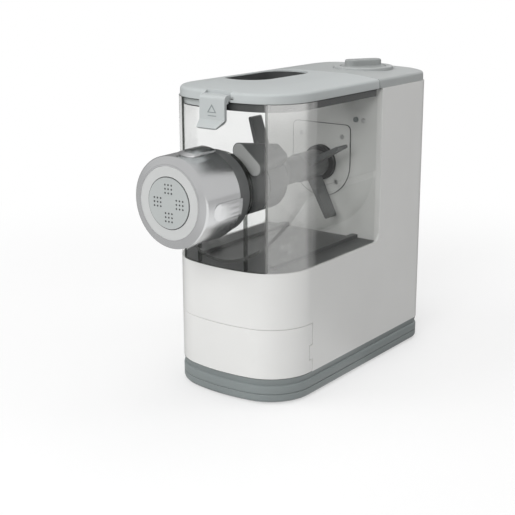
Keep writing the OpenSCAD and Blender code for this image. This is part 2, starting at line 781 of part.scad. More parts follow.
tube_rear_d = 213;
tube_wall = 3.2;
flange_r = ring_r - 1.4;
flange_t = 6;
module extrusion_tube() color(dark_grey) ahead(tube_rear_d) rotate_extrude() {
    front = collar_front_d - tube_rear_d;
    apex = body_l - tube_rear_d;
    flange = ring_rear_d - 2 * slide_gap - tube_rear_d;
    polygon([[tube_bore_r, 0], [tube_r - 1, 0], [tube_r, 1], [tube_r, apex - 6],
             [tube_hole_r - 0.2, apex - 5], [tube_hole_r - 0.2, apex + 0.5], [collar_r - 1, apex + 0.5],
             [collar_r, apex + 1.5], [collar_r, flange - flange_t], [flange_r - 0.6, flange - flange_t],
             [flange_r, flange - flange_t + 0.6], [flange_r, flange], [collar_r, flange],
             [collar_r, front], [collar_r - tube_wall, front], [collar_r - tube_wall, apex + 6],
             [tube_bore_r + tube_wall, apex + 6], [tube_bore_r + tube_wall, front], [tube_bore_r, front]]);
}

// ---- Paddle ----

hub_rear_d = chamber_inner_d + 1;
neck_r = shaft_r;
drum_d = 187;
blade_front_d = 240;
blade_rear_d = 191;
blade_t = 14;
blade_l = 35;
blade_tail_l = 19;
blade_tail_t = 10;
blade_under_r = tube_r + 0.9;
// One arm as a plate from the shaft to its reach, thinner towards its tip
module arm(angle, middle_d, reach = arm_reach) ahead(middle_d - arm_w / 2) rotate(angle)
    linear_extrude(arm_w) {
        polygon([[0, -arm_t / 2], [reach - 1, -arm_t / 4], [reach - 1, arm_t / 4], [0, arm_t / 2]]);
        translate([reach - 1, 0]) circle(arm_t / 4, $fn = 32);
    }

// The blade that scrapes over the extrusion tube, and the web that carries it
blade_turn = 50;
module blade() {
    ahead(0) rotate(blade_turn) hull() {
        translate([blade_under_r + blade_t / 2, 0, blade_front_d - eps]) rotate(90)
            linear_extrude(eps) capsule(blade_l, blade_t, $fn = 32);
        translate([blade_under_r + blade_tail_t / 2, 0, blade_rear_d]) rotate(90)
            linear_extrude(eps) capsule(blade_tail_l, blade_tail_t, $fn = 32);
    }
    ahead(blade_rear_d + 1) rotate(blade_turn) translate([0, -blade_tail_l / 2, 0])
        cube([blade_under_r + blade_tail_t / 2, blade_tail_l, tube_rear_d - 2.5 - blade_rear_d]);
}

module mixing_paddle() color(paddle_grey) {
    ahead(coupling_d + 3.5) cylinder(r = hex_r - slide_gap, h = chamber_rear_d - coupling_d - 3, $fn = 6);
    ahead(chamber_rear_d) rotate_extrude() {
        start = hub_rear_d - chamber_rear_d;
        drum = drum_d - chamber_rear_d;
        end = tube_rear_d - 1 - chamber_rear_d;
        polygon([[0, 0], [neck_r, 0], [neck_r, start + 2], [neck_r + 1.5, start + 3.5],
                 [neck_r + 1.5, start + 34], [neck_r, start + 36], [neck_r + 1, drum - 24],
                 [tube_r - 3, drum - 4], [tube_r, drum], [tube_r, end], [0, end]]);
    }
    arm(-62, hub_rear_d + 14, arm_reach - 2);
    arm(28, hub_rear_d + 26, arm_reach - 5);
    arm(107, drum_d - 10);
    arm(210, drum_d - 2);
    blade();
}

auger_core_r = 9;
auger_l = collar_front_d - 4 - tube_rear_d;
module auger_screw() color(paddle_grey) ahead(tube_rear_d - 1)
    linear_extrude(auger_l, twist = -360 * auger_turns, slices = 56, segments = 0, $fn = 0) {
        circle(auger_core_r, $fn = 20);
        intersection() {
            circle(auger_r, $fn = 36);
            polygon([[0, -4], [auger_r + 1, -2.4], [auger_r + 1, 2.4], [0, 4]]);
        }
    }

pin_r = 4;
module auger_pin() color(steel) rod(pin_r, tube_rear_d - 1 + auger_l, collar_front_d + 5);

// ---- Nozzle ----

die_seat_d = collar_front_d + 2;
die_edge = 0.5;
disc_edge = 0.4;
module shaping_disc() color(top_grey) difference() {
    ahead(collar_front_d + 0.1) rotate_extrude() {
        front = disc_front_d - collar_front_d - 0.1;
        polygon([[0, 0], [collar_r - slide_gap, 0], [collar_r - slide_gap, disc_flange_t],
                 [disc_r, disc_flange_t], [disc_r, front - disc_edge], [disc_r - disc_edge, front], [0, front]]);
    }
    rod(die_r, die_seat_d, disc_front_d + 1);
    rod(die_r - 2, collar_front_d - 1, disc_front_d);
}

module die_insert() color(top_grey) difference() {
    ahead(die_seat_d) rotate_extrude() {
        edge_r = die_r - 0.25;
        front = die_front_d - die_seat_d;
        polygon([[0, 0], [die_r - 0.1, 0], [die_r - 0.1, front - 4], [edge_r, front - 4],
                 [edge_r, front - die_edge], [edge_r - die_edge, front], [0, front]]);
    }
    rod(pin_r + running_gap, collar_front_d, collar_front_d + 5.5);
    for (angle = [0 : 90 : 270]) ahead(collar_front_d + 1) rotate(angle) translate([die_group_r, 0, 0])
        for (i = [-1 : 1], j = [-1 : 1]) translate([i, j, 0] * die_hole_pitch)
            cylinder(r = die_hole_r, h = 20, $fn = 16);
}

// Four raised pads round the ring, each with a round front end
pad_turn = -8;
pad_w = 15;
pad_l = ring_l * 0.76;
pad_rise = 1.8;
lip_l = 2.8;
module tightening_ring() color(steel) difference() {
    union() {
        ahead(ring_rear_d) rotate_extrude() polygon([[0, 0], [ring_r, 0], [ring_r - 0.5, ring_l - lip_l - 0.6],
            [ring_r - 0.9, ring_l - lip_l], [disc_r + 0.9, ring_l], [0, ring_l]]);
        intersection() {
            ahead(ring_rear_d) rotate_extrude() polygon([[0, 0], [ring_r + pad_rise, 0],
                [ring_r + pad_rise * 0.9, pad_l * 0.6], [ring_r + pad_rise * 0.6, pad_l * 0.85],
                [ring_r - 0.5, pad_l], [0, pad_l]]);
            for (i = [0 : 3]) ahead(ring_rear_d) rotate(i * 90 + pad_turn) rotate([0, 90, 0])
                linear_extrude(ring_r + 5) {
                    translate([pad_w / 2 - pad_l, -pad_w / 2]) square([pad_l - pad_w / 2, pad_w]);
                    translate([pad_w / 2 - pad_l, 0]) circle(pad_w / 2);
                }
        }
    }
    rod(collar_r + running_gap, ring_rear_d - 1, collar_front_d + disc_flange_t + 0.2);
    rod(disc_r + slide_gap, ring_rear_d, ring_front_d + 1);
}

// ---- Lid ----

slot_d = body_l - 96;
lid_rear_d = cap_d + cap_seam;
pin_d = body_l - 2.7;
pin_z = lid_z + 3.3;
latch_pin_r = 1.5;
barrel_r = 3;
module pour_slot(z0, z1) slab(z0, z1)
    translate([-slot_offset, -slot_d]) rounded_rect(slot_w, slot_l, 16);

module latch_pocket() block(latch_w + 0.8, pin_d - barrel_r - 0.4, body_l + 10, lid_z - 1, crown_z + 10);

module lid_cover() color(top_grey) difference() {
    union() {
        intersection() {
            difference() {
                dome();
                dome(wall);
                slab(lid_z - 1, lid_z + wall) outline_between(lid_rear_d + wall, body_l, wall + 0.9);
            }
            slab(lid_z, crown_z + 1) outline_between(lid_rear_d, body_l + 1);
        }
        block(body_w - 10, lid_rear_d, lid_rear_d + wall, lid_z, lid_z + crown_h * 0.55);
        intersection() {
            slab(lid_z, crown_z) translate([-latch_w / 2 - 5, -body_l]) square([latch_w + 10, 14]);
            dome(0.4);
        }
    }
    pour_slot(lid_z - 1, crown_z + 1);
    latch_pocket();
    from_rear() translate([0, -pin_d, pin_z]) rotate([0, 90, 0])
        cylinder(r = latch_pin_r, h = latch_w + 8, center = true, $fn = 48);
}

rim_inset = clear_wall + loose_gap;
rim_h = 7;
module lid_rim() color(dark_grey) slab(lid_z - rim_h, lid_z)
    outline_wall(chamber_inner_d + loose_gap, body_l, 2, rim_inset);

// The latch's plate stands in front of the lid and flares forwards into a narrower finger lip
latch_face_d = body_l + 6;
latch_t = 3;
lip_reach = 8;
lip_drop = 5.8;
lip_taper = 4;
latch_top_z = pin_z + barrel_r;
lip_top_z = latch_top_z - latch_h + lip_drop;
module latch_clip() color(top_grey) difference() {
    union() {
        from_rear() translate([-latch_w / 2, -pin_d, pin_z]) rotate([0, 90, 0])
            cylinder(r = barrel_r, h = latch_w, $fn = 48);
        intersection() {
            from_rear() translate([-latch_w / 2, -latch_face_d, 0]) rotate([90, 0, 90]) linear_extrude(latch_w)
                polygon([[latch_face_d - pin_d, pin_z], [latch_face_d - pin_d, latch_top_z],
                         [3.4, latch_top_z - 0.3], [1.6, latch_top_z - 1.1], [0.4, latch_top_z - 2.6],
                         [0, latch_top_z - 4.4], [0, lip_top_z], [-lip_reach, lip_top_z - lip_drop],
                         [1.2 - lip_reach, lip_top_z - lip_drop - 1.4], [latch_t - 1, lip_top_z - 3],
                         [latch_t, lip_top_z - 1], [latch_t, pin_z - 4.5],
                         [latch_face_d - body_l - 0.4, pin_z - 4], [latch_face_d - body_l - 0.4, pin_z]]);
            across(pin_d - barrel_r - 1, latch_face_d + lip_reach + 1) polygon([[latch_w / 2, latch_top_z + 1],
                [latch_w / 2, lip_top_z], [latch_w / 2 - lip_taper, lip_top_z - lip_drop - 2],
                [lip_taper - latch_w / 2, lip_top_z - lip_drop - 2], [-latch_w / 2, lip_top_z],
                [-latch_w / 2, latch_top_z + 1]]);
        }
    }
    from_rear() translate([0, -pin_d, pin_z]) rotate([0, 90, 0])
        cylinder(r = latch_pin_r + running_gap, h = latch_w + 8, center = true, $fn = 48);
}

module latch_pin() color(steel) from_rear() translate([0, -pin_d, pin_z]) rotate([0, 90, 0])
    cylinder(r = latch_pin_r, h = latch_w + 6, center = true, $fn = 48);

base_tray();
for (i = [1 : 4]) rubber_foot(i);
lower_shell();
tower_shell();
drawer_bay();
drawer_front();
drawer_tray();
deck_plate();
gear_cover_plate();
drive_seal();
gear_case();
gear_case_cover();
output_gear();
output_shaft();
drive_coupling();
idler_gear();
idler_axle();
motor_can();
motor_magnets();
motor_rotor();
motor_pinion();
interlock_switch();
interlock_pin();
control_board();
cord_gland();
tower_cap();
dial_bezel();
dial_knob();
rotary_switch();
chamber_cup();
shaft_seal();
front_panel();
extrusion_tube();
mixing_paddle();
auger_screw();
auger_pin();
shaping_disc();
die_insert();
tightening_ring();
lid_cover();
lid_rim();
latch_clip();
latch_pin();
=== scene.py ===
import json
from math import asin, cos, exp, pi, radians, sin, sqrt

import bmesh
import bpy
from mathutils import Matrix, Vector


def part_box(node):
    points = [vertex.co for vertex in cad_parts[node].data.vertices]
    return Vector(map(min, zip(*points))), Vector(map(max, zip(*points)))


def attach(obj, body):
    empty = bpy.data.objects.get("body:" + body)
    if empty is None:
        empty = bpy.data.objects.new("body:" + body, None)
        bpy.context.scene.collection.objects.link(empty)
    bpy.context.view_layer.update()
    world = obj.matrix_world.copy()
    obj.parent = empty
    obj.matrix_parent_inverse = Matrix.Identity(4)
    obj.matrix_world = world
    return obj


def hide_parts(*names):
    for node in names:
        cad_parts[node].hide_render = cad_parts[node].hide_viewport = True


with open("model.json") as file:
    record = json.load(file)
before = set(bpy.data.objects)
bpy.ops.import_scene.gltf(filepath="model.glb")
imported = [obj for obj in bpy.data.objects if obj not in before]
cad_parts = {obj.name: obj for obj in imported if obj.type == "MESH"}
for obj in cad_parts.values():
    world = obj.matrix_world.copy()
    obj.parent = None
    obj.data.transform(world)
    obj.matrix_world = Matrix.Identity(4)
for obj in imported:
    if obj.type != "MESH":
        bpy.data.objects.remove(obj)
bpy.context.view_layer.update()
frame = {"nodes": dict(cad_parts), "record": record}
bpy.ops.object.select_all(action="DESELECT")
print("frame loaded:", len(frame["nodes"]), "nodes")

body = {"width": 0.133, "length": 0.252, "rearRadius": 0.019, "frontRadius": 0.043, "bulgeRadius": 0.165,
        "leastRadius": 0.003, "rearY": 0.1582, "lidZ": 0.2645, "axisZ": 0.1888}


def depthY(depth):
    # depths are counted from the rear face forwards
    return body["rearY"] - depth


# the middles of the round front and of its two corners, in plan
bulgeY = depthY(body["length"] - body["bulgeRadius"])
cornerX = body["width"] / 2 - body["frontRadius"]
cornerY = bulgeY - sqrt((body["bulgeRadius"] - body["frontRadius"]) ** 2 - cornerX ** 2)
bulgeTurn = asin(cornerX / (body["bulgeRadius"] - body["frontRadius"]))


# finishes: every material is a small tree of nodes

class Wire:
    # one output socket; arithmetic on wires adds Math nodes
    def __init__(self, finish, socket):
        self.finish = finish
        self.socket = socket

    def math(self, operation, *values):
        return self.finish.add("ShaderNodeMath", {"operation": operation}, dict(enumerate(values)))

    def __add__(self, other):
        return self.math("ADD", self, other)

    def __radd__(self, other):
        return self.math("ADD", other, self)

    def __sub__(self, other):
        return self.math("SUBTRACT", self, other)

    def __rsub__(self, other):
        return self.math("SUBTRACT", other, self)

    def __mul__(self, other):
        return self.math("MULTIPLY", self, other)

    def __rmul__(self, other):
        return self.math("MULTIPLY", other, self)

    def __truediv__(self, other):
        return self.math("DIVIDE", self, other)

    def __pow__(self, other):
        return self.math("POWER", self, other)

    def larger(self, other):
        return self.math("MAXIMUM", self, other)

    def out(self, name):
        # another output of the node this wire comes from
        return Wire(self.finish, self.socket.node.outputs[name])

    def ramp(self, low, high, start=0.0, end=1.0):
        # start at low, end at high, and a smooth step between
        return self.finish.add("ShaderNodeMapRange", {"interpolation_type": "SMOOTHSTEP"}, {
            "Value": self, "From Min": low, "From Max": high, "To Min": start, "To Max": end})


class Finish:
    # a material, or the world, whose tree is built with one method
    def __init__(self, name, owner=None):
        self.owner = owner or bpy.data.materials.new(name)
        self.owner.use_nodes = True
        self.tree = self.owner.node_tree
        self.tree.nodes.clear()

    def add(self, kind, settings=None, sockets=None):
        node = self.tree.nodes.new(kind)
        for key, value in (settings or {}).items():
            setattr(node, key, value)
        for key, value in (sockets or {}).items():
            live = [s for s in node.inputs if s.enabled]
            socket = live[key] if isinstance(key, int) else next(s for s in live if s.name == key)
            if isinstance(value, Wire):
                self.tree.links.new(value.socket, socket)
            elif isinstance(value, tuple) and len(value) == 3 and socket.type == "RGBA":
                socket.default_value = (*value, 1)
            else:
                socket.default_value = value
        return Wire(self, next((s for s in node.outputs if s.enabled), None))

    def place(self):
        return self.add("ShaderNodeTexCoord").out("Object")

    def split(self, vector):
        # the x of a vector, whose y and z are the wire's other outputs
        return self.add("ShaderNodeSeparateXYZ", {}, {"Vector": vector})

    def noise(self, scale, detail=2.0, rough=0.5):
        return self.add("ShaderNodeTexNoise", {}, {
            "Vector": self.place(), "Scale": scale, "Detail": detail, "Roughness": rough})

    def blend(self, factor, first, second):
        return self.add("ShaderNodeMix", {"data_type": "RGBA"}, {"Factor": factor, "A": first, "B": second})

    def bump(self, height, strength, distance):
        return self.add("ShaderNodeBump", {}, {"Strength": strength, "Distance": distance, "Height": height})

    def grey(self, kind, level):
        # a plain shader of one grey
        return self.add(kind, {}, {"Color": (level, level, level)})

    def either(self, share, first, second):
        # the second shader by its share, the first for the rest
        return self.add("ShaderNodeMixShader", {}, {0: share, 1: first, 2: second})

    def surface(self, sockets):
        self.done(self.add("ShaderNodeBsdfPrincipled", {}, sockets))
        return self.owner

    def done(self, shader, output="ShaderNodeOutputMaterial"):
        self.add(output, {}, {"Surface": shader})


def mottled(finish, pattern, colour, spread):
    # a colour that wanders a little darker and lighter with a pattern
    darker, lighter = (tuple(min(1.0, c * factor) for c in colour) for factor in (1 - spread, 1 + spread))
    return finish.blend(pattern, darker, lighter)


mouldLook = {
    # colour, roughness, coat, depth of the fine texture in metres
    "glossWhite": ((0.80, 0.80, 0.785), 0.24, 0.30, 0.000006),
    "lightGrey": ((0.485, 0.512, 0.512), 0.36, 0.10, 0.00001),
    "capGrey": ((0.40, 0.418, 0.415), 0.36, 0.10, 0.00001),
    # the knob's grey, darker than the cap: painted shade matched to its shaded front
    "knobShadedGrey": ((0.30, 0.315, 0.312), 0.36, 0.10, 0.00001),
    "baseGrey": ((0.235, 0.262, 0.262), 0.42, 0.0, 0.000014),
    "darkGrey": ((0.055, 0.058, 0.058), 0.38, 0.0, 0.000014),
    "paddleGrey": ((0.125, 0.13, 0.13), 0.36, 0.05, 0.000014),
    # a lighter copy of the paddle's grey: painted light for the lit face of the scraper blade
    "paddleLitGrey": ((0.38, 0.385, 0.38), 0.4, 0.05, 0.000014),
    "gearPlastic": ((0.78, 0.76, 0.68), 0.4, 0.0, 0.00001),
}
mould = {"cloudScale": 14.0, "fineScale": 2400.0, "spread": 0.035, "cloudGloss": 0.08, "fineGloss": 0.03,
         "coatRough": 0.06, "bump": 0.35}


def moulded(name):
    # moulded plastic: a fine even texture and faint clouds in its colour and gloss
    colour, rough, coat, depth = mouldLook[name]
    finish = Finish(name)
    cloud = finish.noise(mould["cloudScale"], 3.0, 0.6)
    fine = finish.noise(mould["fineScale"])
    least = rough - mould["cloudGloss"] / 2
    return finish.surface({
        "Base Color": mottled(finish, cloud, colour, mould["spread"]),
        "Roughness": cloud * mould["cloudGloss"] + least + fine * mould["fineGloss"],
        "Coat Weight": coat, "Coat Roughness": mould["coatRough"],
        "Normal": finish.bump(fine, mould["bump"], depth)})


turnedLook = {
    # colour, roughness, metal
    "brushedSteel": ((0.66, 0.665, 0.67), 0.2, 1.0),
    "polishedSteel": ((0.6, 0.6, 0.6), 0.3, 1.0),
    "discSteel": ((0.60, 0.61, 0.605), 0.34, 0.15),
    "dieSteel": ((0.50, 0.525, 0.52), 0.34, 0.2),
}
steel = {"axis": (0, 0, body["axisZ"]), "ringScale": 6000.0, "smudgeScale": 30.0, "spread": 0.04,
         "ringGloss": 0.10, "smudgeGloss": 0.05, "anisotropic": 0.4, "bump": 0.12, "bumpDepth": 0.00002}


def turnedSteel(name):
    # steel turned in a lathe: fine rings round the nozzle's axis
    colour, rough, metal = turnedLook[name]
    finish = Finish(name)
    where = finish.add("ShaderNodeVectorMath", {"operation": "SUBTRACT"}, {
        0: finish.place(), 1: steel["axis"]})
    x = finish.split(where)
    y, z = x.out("Y"), x.out("Z")
    radius = (x * x + z * z) ** 0.5
    lines = finish.add("ShaderNodeCombineXYZ", {}, {
        "X": radius * steel["ringScale"], "Y": y * steel["ringScale"], "Z": 0.0})
    rings = finish.add("ShaderNodeTexNoise", {"noise_dimensions": "2D"}, {
        "Vector": lines, "Scale": 1.0, "Detail": 2.0})
    smudge = finish.noise(steel["smudgeScale"], 3.0, 0.6)
    least = rough - (steel["ringGloss"] + steel["smudgeGloss"]) / 2
    return finish.surface({
        "Base Color": mottled(finish, smudge, colour, steel["spread"]), "Metallic": metal,
        "Roughness": rings * steel["ringGloss"] + smudge * steel["smudgeGloss"] + least,
        "Anisotropic": steel["anisotropic"],
        "Normal": finish.bump(rings, steel["bump"], steel["bumpDepth"])})


clearLook = {
    # tint, gloss, share of the painted reflection round the front corners
    "clearSmoke": ((0.975, 0.977, 0.975), 0.02, 0.14),
    # painted shade for the narrow faces of the clear mouldings, which refraction would darken
    "clearEdgeShade": ((0.52, 0.53, 0.52), 0.05, 0.0),
}
clear = {"cloudScale": 9.0, "edgeGloss": 0.25, "edgePower": 4.0, "cloudRough": 0.03, "shineRough": 0.02,
         "shine": ((0.86, 0.86, 0.85), (0.92, 0.92, 0.91))}
# where the painted reflection lies on the corners: turns from the front, heights and places across, in metres
reflectionPlace = {"start": (radians(29), radians(29) + 0.02), "end": (radians(98) + 0.05, radians(98)),
        "rise": (0.235, 0.262), "topGain": 1.2, "middle": (-0.01, 0.01), "leftShare": 0.6}


def paintedCornerReflection(finish):
    # painted reflection: 1 round the two front corners, more near the top and less on the left; shadow rays
    # pass it
    x = finish.split(finish.place())
    sideways = x.math("ABSOLUTE", x) - cornerX
    turn = sideways.math("ARCTAN2", sideways, cornerY - x.out("Y"))
    inside = turn.ramp(*reflectionPlace["start"]) * turn.ramp(*reflectionPlace["end"])
    height = x.out("Z").ramp(*reflectionPlace["rise"]) * reflectionPlace["topGain"] + 1.0
    side = x.ramp(*reflectionPlace["middle"], reflectionPlace["leftShare"], 1.0)
    return inside * height * side * (1.0 - finish.add("ShaderNodeLightPath").out("Is Shadow Ray"))


def clearPlastic(name):
    # clear moulding: sees through, with a gloss that grows towards the edge of sight
    tint, gloss, reflectionShare = clearLook[name]
    finish = Finish(name)
    cloud = finish.noise(clear["cloudScale"])
    facing = finish.add("ShaderNodeLayerWeight", {}, {"Blend": 0.5}).out("Facing")
    share = facing ** clear["edgePower"] * clear["edgeGloss"] + gloss
    # a painted reflection is added round the front corners
    if reflectionShare:
        share = share + paintedCornerReflection(finish) * reflectionShare
    shine = finish.add("ShaderNodeBsdfPrincipled", {}, {
        "Base Color": finish.blend(cloud, *clear["shine"]), "Metallic": 1.0,
        "Roughness": cloud * clear["cloudRough"] + clear["shineRough"]})
    through = finish.add("ShaderNodeBsdfTransparent", {}, {"Color": tint})
    finish.done(finish.either(share, through, shine))
    return finish.owner


def blackRubber(name):
    finish = Finish(name)
    fine = finish.noise(1500.0, 3.0, 0.6)
    return finish.surface({
        "Base Color": finish.blend(fine, (0.018, 0.018, 0.019), (0.035, 0.035, 0.036)),
        "Roughness": fine * 0.2 + 0.55, "Normal": finish.bump(fine, 0.5, 0.00004)})


def circuitBoard(name):
    finish = Finish(name)
    tracks = finish.add("ShaderNodeTexBrick", {}, {"Vector": finish.place(), "Scale": 160.0})
    return finish.surface({
        "Base Color": finish.blend(tracks.out("Fac"), (0.02, 0.09, 0.04), (0.04, 0.16, 0.07)),
        "Roughness": 0.45})


def motorIron(name):
    # stacked laminations
    finish = Finish(name)
    layers = finish.add("ShaderNodeTexWave", {"bands_direction": "Y"}, {
        "Vector": finish.place(), "Scale": 700.0, "Distortion": 0.4})
    return finish.surface({
        "Base Color": finish.blend(layers, (0.16, 0.10, 0.07), (0.26, 0.16, 0.11)), "Metallic": 0.6,
        "Roughness": layers * 0.15 + 0.4, "Normal": finish.bump(layers, 0.3, 0.00005)})


looks = {name: moulded(name) for name in mouldLook}
looks.update({name: turnedSteel(name) for name in turnedLook})
looks.update({name: clearPlastic(name) for name in clearLook})
for name, make in (("rubber", blackRubber), ("board", circuitBoard), ("motorIron", motorIron)):
    looks[name] = make(name)

# the record's material slots and the finish of each
slotLook = {"gloss_white": "glossWhite", "light_grey": "lightGrey", "base_grey": "baseGrey",
            "dark_grey": "darkGrey", "paddle_grey": "paddleGrey", "gear_plastic": "gearPlastic",
            "clear_smoke": "clearSmoke", "board": "board", "rubber": "rubber",
            "brushed_steel": "brushedSteel", "polished_steel": "polishedSteel", "motor_iron": "motorIron"}
lookSlot = {look: slot for slot, look in slotLook.items()}
lookSlot.update({"clearEdgeShade": "clear_smoke", "dieSteel": "light_grey", "discSteel": "light_grey",
                 "capGrey": "light_grey", "knobShadedGrey": "light_grey", "paddleLitGrey": "paddle_grey"})
nodeLook = {"shaping_disc": "discSteel", "extrusion_tube": "paddleGrey", "interlock_pin": "baseGrey"}
for row in frame["record"]["subparts"]:
    node = frame["nodes"][row["node"]]
    node.data.materials.clear()
    node.data.materials.append(looks[nodeLook.get(row["node"], slotLook[row["material_slot"]])])
print("finishes made:", len(looks))


# modelling steps, each a few operators on one piece

merge = {"doubles": 0.000002, "copyDoubles": 0.000005, "flat": radians(0.4)}


def pick(piece):
    bpy.ops.object.select_all(action="DESELECT")
    piece.select_set(True)
    bpy.context.view_layer.objects.active = piece


def edit(piece, wanted=None):
    # edit mode, with all faces selected or only the wanted ones
    pick(piece)
    bpy.ops.object.mode_set(mode="EDIT")
    bpy.ops.mesh.select_mode(type="FACE")
    bpy.ops.mesh.select_all(action="DESELECT" if wanted else "SELECT")
    if wanted:
        mesh = bmesh.from_edit_mesh(piece.data)
        for face in mesh.faces:
            face.select_set(bool(wanted(face.calc_center_median(), face.normal)))
        bmesh.update_edit_mesh(piece.data)


def editDone(tidy=False):
    if tidy:
        bpy.ops.mesh.select_all(action="SELECT")
        bpy.ops.mesh.remove_doubles(threshold=merge["doubles"])
        bpy.ops.mesh.normals_make_consistent(inside=False)
    bpy.ops.object.mode_set(mode="OBJECT")


def traced(points, fill="NGON"):
    # a circle whose corners are laid on an outline's points
    bpy.ops.mesh.primitive_circle_add(vertices=len(points), radius=0.01, fill_type=fill)
    piece = bpy.context.object
    for corner, point in zip(piece.data.vertices, points):
        corner.co = point
    return piece


def grown(rows):
    # one outline extruded from row to row into a closed skin
    piece = traced(rows[0])
    edit(piece)
    mesh = bmesh.from_edit_mesh(piece.data)
    mesh.faces.ensure_lookup_table()
    order = [corner.index for corner in mesh.faces[0].verts]
    for row in rows[1:]:
        bpy.ops.mesh.extrude_region_move()
        mesh = bmesh.from_edit_mesh(piece.data)
        top = next(face for face in mesh.faces if face.select)
        for index, corner in zip(order, top.verts):
            corner.co = row[index]
        bmesh.update_edit_mesh(piece.data)
    editDone(tidy=True)
    return piece


def pressed(points, push):
    # a flat outline pushed out into a plate
    piece = traced(points)
    edit(piece)
    bpy.ops.mesh.extrude_region_move(TRANSFORM_OT_translate={"value": push})
    editDone(tidy=True)
    return piece


def turned(profile, centre, axis, steps=128):
    # a lathe profile of radius and reach along the axis, spun once round
    along = Vector(axis)
    outline = [Vector(centre) + Vector((radius, 0, 0)) + along * reach for radius, reach in profile]
    piece = traced(outline, "NOTHING")
    edit(piece)
    bpy.ops.mesh.select_mode(type="EDGE")
    bpy.ops.mesh.select_all(action="SELECT")
    bpy.ops.mesh.spin(steps=steps, angle=2 * pi, center=centre, axis=axis)
    bpy.ops.mesh.select_all(action="SELECT")
    bpy.ops.mesh.remove_doubles(threshold=merge["doubles"])
    bpy.ops.mesh.delete_loose()
    editDone(tidy=True)
    return piece


def shaped(piece, kind, **settings):
    # one modifier, applied
    pick(piece)
    change = piece.modifiers.new(kind.lower(), kind)
    for key, value in settings.items():
        setattr(change, key, value)
    bpy.ops.object.modifier_apply(modifier=change.name)
    return piece


def cut(piece, tool, operation="DIFFERENCE"):
    shaped(piece, "BOOLEAN", operation=operation, object=tool, solver="EXACT")
    bpy.data.objects.remove(tool, do_unlink=True)
    return piece


def rounded(piece, width, segments=2, angle=32):
    return shaped(piece, "BEVEL", width=width, segments=segments, limit_method="ANGLE",
                  angle_limit=radians(angle))


def halved(piece, point, normal):
    # keeps the side that the normal points away from
    edit(piece)
    bpy.ops.mesh.bisect(plane_co=point, plane_no=normal, clear_outer=True, use_fill=True)
    editDone(tidy=True)
    return piece


def copied(node):
    # a CAD node's mesh as a new piece, merged so that edges can be rounded
    mesh = frame["nodes"][node].data.copy()
    piece = bpy.data.objects.new(node + "Copy", mesh)
    bpy.context.scene.collection.objects.link(piece)
    edit(piece)
    bpy.ops.mesh.remove_doubles(threshold=merge["copyDoubles"])
    bpy.ops.mesh.dissolve_limited(angle_limit=merge["flat"])
    editDone()
    if mesh.has_custom_normals:
        bpy.ops.mesh.customdata_custom_splitnormals_clear()
    return piece


def finished(piece, name, rider, look, replaces=(), smooth=34, weighted=True):
    # the piece's name, finish and shading, and the body that it rides on
    piece.name = piece.data.name = name
    piece.data.materials.clear()
    piece.data.materials.append(looks[look])
    pick(piece)
    bpy.ops.object.shade_smooth_by_angle(angle=radians(smooth))
    if weighted:
        shaped(piece, "WEIGHTED_NORMAL", keep_sharp=True, weight=60)
    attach(piece, rider)
    if replaces:
        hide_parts(*replaces)
    return piece


# outlines and profiles

def planLoop(z, inset, rearInset=None, fine=12):
    # the body's plan at one height, drawn inwards; the rear edge may have an inset of its own
    half = body["width"] / 2 - inset
    rear = body["rearY"] - (inset if rearInset is None else rearInset)
    radius = max(body["rearRadius"] - inset, body["leastRadius"])
    points = []
    for side, start in ((1, 0), (-1, 90)):
        for step in range(fine + 1):
            turn = radians(start + 90 * step / fine)
            x = side * (half - radius) + radius * cos(turn)
            points.append((x, rear - radius + radius * sin(turn), z))
    for step in range(4 * fine + 1):
        turn = radians(-90 + 180 * step / (4 * fine))
        if abs(turn) <= bulgeTurn:
            reach = body["bulgeRadius"] - inset
            points.append((reach * sin(turn), bulgeY - reach * cos(turn), z))
        else:
            reach = body["frontRadius"] - inset
            side = 1 if turn > 0 else -1
            points.append((side * cornerX + reach * sin(turn), cornerY - reach * cos(turn), z))
    return points


def roundedBox(w, h, r, centre, z, fine=8):
    corners = ((1, 1, 0), (-1, 1, 90), (-1, -1, 180), (1, -1, 270))
    return [(centre[0] + sx * (w / 2 - r) + r * cos(radians(start + 90 * step / fine)),
             centre[1] + sy * (h / 2 - r) + r * sin(radians(start + 90 * step / fine)), z)
            for sx, sy, start in corners for step in range(fine + 1)]


def upright(outline, y):
    # a flat outline stood up in the plane at y
    return [(point[0], y, point[1]) for point in outline]


def plug(radius, low, high):
    # the lathe profile of a plain round plug
    return [(0, low), (radius, low), (radius, high), (0, high)]


# base: a tapered band over a waist, with a groove round the foot
base = {
    # height, inset
    "rows": [(0.001, 0.0034), (0.0018, 0.0016), (0.0030, 0.0005), (0.0046, 0), (0.0088, 0), (0.0091, 0.0003),
             (0.0091, 0.0008), (0.0097, 0.0008), (0.0097, 0.0003), (0.0100, 0), (0.0152, 0), (0.0164, 0.0004),
             (0.0171, 0.0012), (0.0173, 0.0018), (0.0176, 0.00175), (0.0229, 0.0002), (0.0233, 0.0001)],
    "inner": [(0.0035, 0.0043), (0.03, 0.0043)],
    "ventCount": 7, "ventWidth": 0.003, "ventPitch": 0.009, "ventLength": 0.034, "ventRadius": 0.0014,
    "ventDepth": 0.057, "ventCut": 0.01, "gland": (-0.035, 0.011), "glandRadius": 0.00525,
    "glandReach": (-0.001, 0.006)}
baseShell = grown([planLoop(z, inset) for z, inset in base["rows"]])
cut(baseShell, grown([planLoop(z, inset) for z, inset in base["inner"]]))
for i in range(base["ventCount"]):
    ventPlace = ((i - (base["ventCount"] - 1) / 2) * base["ventPitch"], depthY(base["ventDepth"]))
    vent = roundedBox(base["ventWidth"], base["ventLength"], base["ventRadius"], ventPlace, 0)
    cut(baseShell, pressed(vent, (0, 0, base["ventCut"])))
glandPlace = (base["gland"][0], body["rearY"], base["gland"][1])
cut(baseShell, turned(plug(base["glandRadius"], *base["glandReach"]), glandPlace, (0, -1, 0), 32))
finished(baseShell, "baseShell", "housing", "baseGrey", ["base_tray"], 30)
print("base made")

